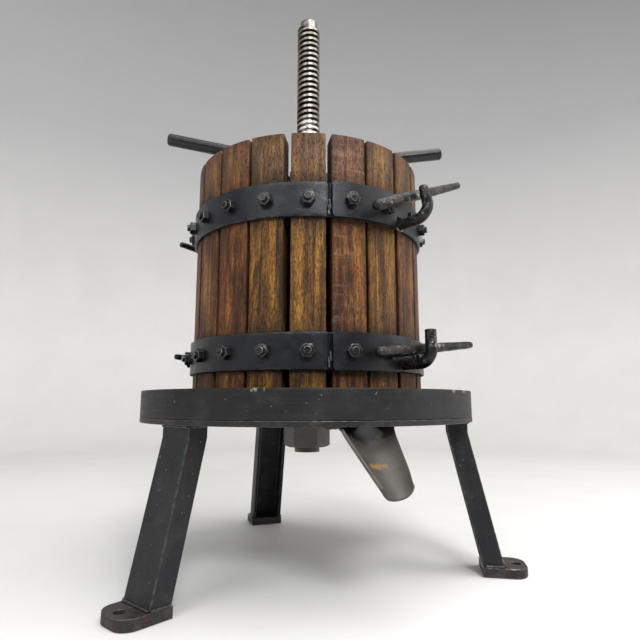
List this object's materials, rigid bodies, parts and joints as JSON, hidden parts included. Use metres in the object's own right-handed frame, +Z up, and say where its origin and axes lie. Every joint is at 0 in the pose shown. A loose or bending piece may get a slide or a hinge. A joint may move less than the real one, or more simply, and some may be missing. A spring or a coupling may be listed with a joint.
{
  "type": "apple cider press",
  "caption": "Hand-screwed fruit press: slatted round basket with latched bands in a rimmed pan with a spout, on a channel-legged stand.",
  "frame": {"origin": "on the floor at the axis of the screw", "axes": "+Z up along the screw, -Y towards the spout, +X to the right seen from the spout's side"},
  "size_m": [0.3646, 0.3987, 0.5895],
  "materials": {
    "pan_paint": "brushed dark grey paint, worn along the rim",
    "leg_paint": "charcoal paint, scuffed",
    "foot_paint": "worn dark paint with dust",
    "bare_steel": "bare steel, dull with brown stain",
    "screw_steel": "worn bright steel with dark grooves",
    "stave_wood": "stained oak, open grain",
    "band_steel": "blue-black hammered steel, semi-gloss",
    "forged_steel": "bare forged steel with polished high spots",
    "fastener_steel": "dark steel with worn corners",
    "follower_wood": "plain hardwood",
    "handle_steel": "black enamel, satin"
  },
  "bodies": {
    "frame": {"pan_floor": "pan_paint", "pan_rim": "pan_paint", "spout": "bare_steel", "screw": "screw_steel", "base_nut": "bare_steel", "lock_nut": "bare_steel", "leg_left": "leg_paint", "leg_right": "leg_paint", "leg_rear": "leg_paint", "foot_plate_left": "foot_paint", "foot_plate_right": "foot_paint", "foot_plate_rear": "foot_paint"},
    "basket": {"stave_01": "stave_wood", "stave_02": "stave_wood", "stave_03": "stave_wood", "stave_04": "stave_wood", "stave_05": "stave_wood", "stave_06": "stave_wood", "stave_07": "stave_wood", "stave_08": "stave_wood", "stave_09": "stave_wood", "stave_10": "stave_wood", "stave_11": "stave_wood", "stave_12": "stave_wood", "stave_13": "stave_wood", "stave_14": "stave_wood", "stave_15": "stave_wood", "stave_16": "stave_wood", "stave_17": "stave_wood", "stave_18": "stave_wood", "stave_19": "stave_wood", "stave_20": "stave_wood", "band_front_upper": "band_steel", "band_front_lower": "band_steel", "band_back_upper": "band_steel", "band_back_lower": "band_steel", "hasp_front_upper": "band_steel", "hasp_front_lower": "band_steel", "hasp_back_upper": "band_steel", "hasp_back_lower": "band_steel", "hook_front_upper": "forged_steel", "hook_front_lower": "forged_steel", "hook_back_upper": "forged_steel", "hook_back_lower": "forged_steel", "band_bolts_upper": "fastener_steel", "band_bolts_lower": "fastener_steel", "band_nuts_upper": "fastener_steel", "band_nuts_lower": "fastener_steel"},
    "follower": {"follower_disc": "follower_wood", "thrust_plate": "bare_steel"},
    "handle": {"hub_nut": "handle_steel", "handle_arm_left": "handle_steel", "handle_arm_right": "handle_steel"},
    "latch_pin_front_upper": {"latch_pin_front_upper": "forged_steel"},
    "latch_pin_front_lower": {"latch_pin_front_lower": "forged_steel"},
    "latch_pin_back_upper": {"latch_pin_back_upper": "forged_steel"},
    "latch_pin_back_lower": {"latch_pin_back_lower": "forged_steel"}
  },
  "joints": [
    {"name": "basket_lift", "type": "slide", "parent": "frame", "child": "basket", "axis": [0, 0, 1], "range_m": [0, 0.0242]},
    {"name": "press_travel", "type": "slide", "parent": "frame", "child": "follower", "axis": [0, 0, 1], "range_m": [-0.00501, 0.16501]},
    {"name": "handle_turn", "type": "hinge", "parent": "follower", "child": "handle", "pos_m": [0, 0, 0.381], "axis": [0, 0, 1], "range_deg": [-283.5, 9354.3]},
    {"name": "pin_front_upper_slide", "type": "slide", "parent": "basket", "child": "latch_pin_front_upper", "axis": [0.8924, 0.2391, 0.3827], "range_m": [0, 0.1]},
    {"name": "pin_front_lower_slide", "type": "slide", "parent": "basket", "child": "latch_pin_front_lower", "axis": [0.9597, 0.2572, 0.1132], "range_m": [0, 0.1]},
    {"name": "pin_back_upper_slide", "type": "slide", "parent": "basket", "child": "latch_pin_back_upper", "axis": [-0.954, -0.2556, 0.1564], "range_m": [0, 0.1]},
    {"name": "pin_back_lower_slide", "type": "slide", "parent": "basket", "child": "latch_pin_back_lower", "axis": [-0.9606, -0.2574, 0.1045], "range_m": [0, 0.1]}
  ],
  "couplings": [
    {"joint": "press_travel", "follows": "handle_turn", "m_per_rad": 0.0010106}
  ]
}
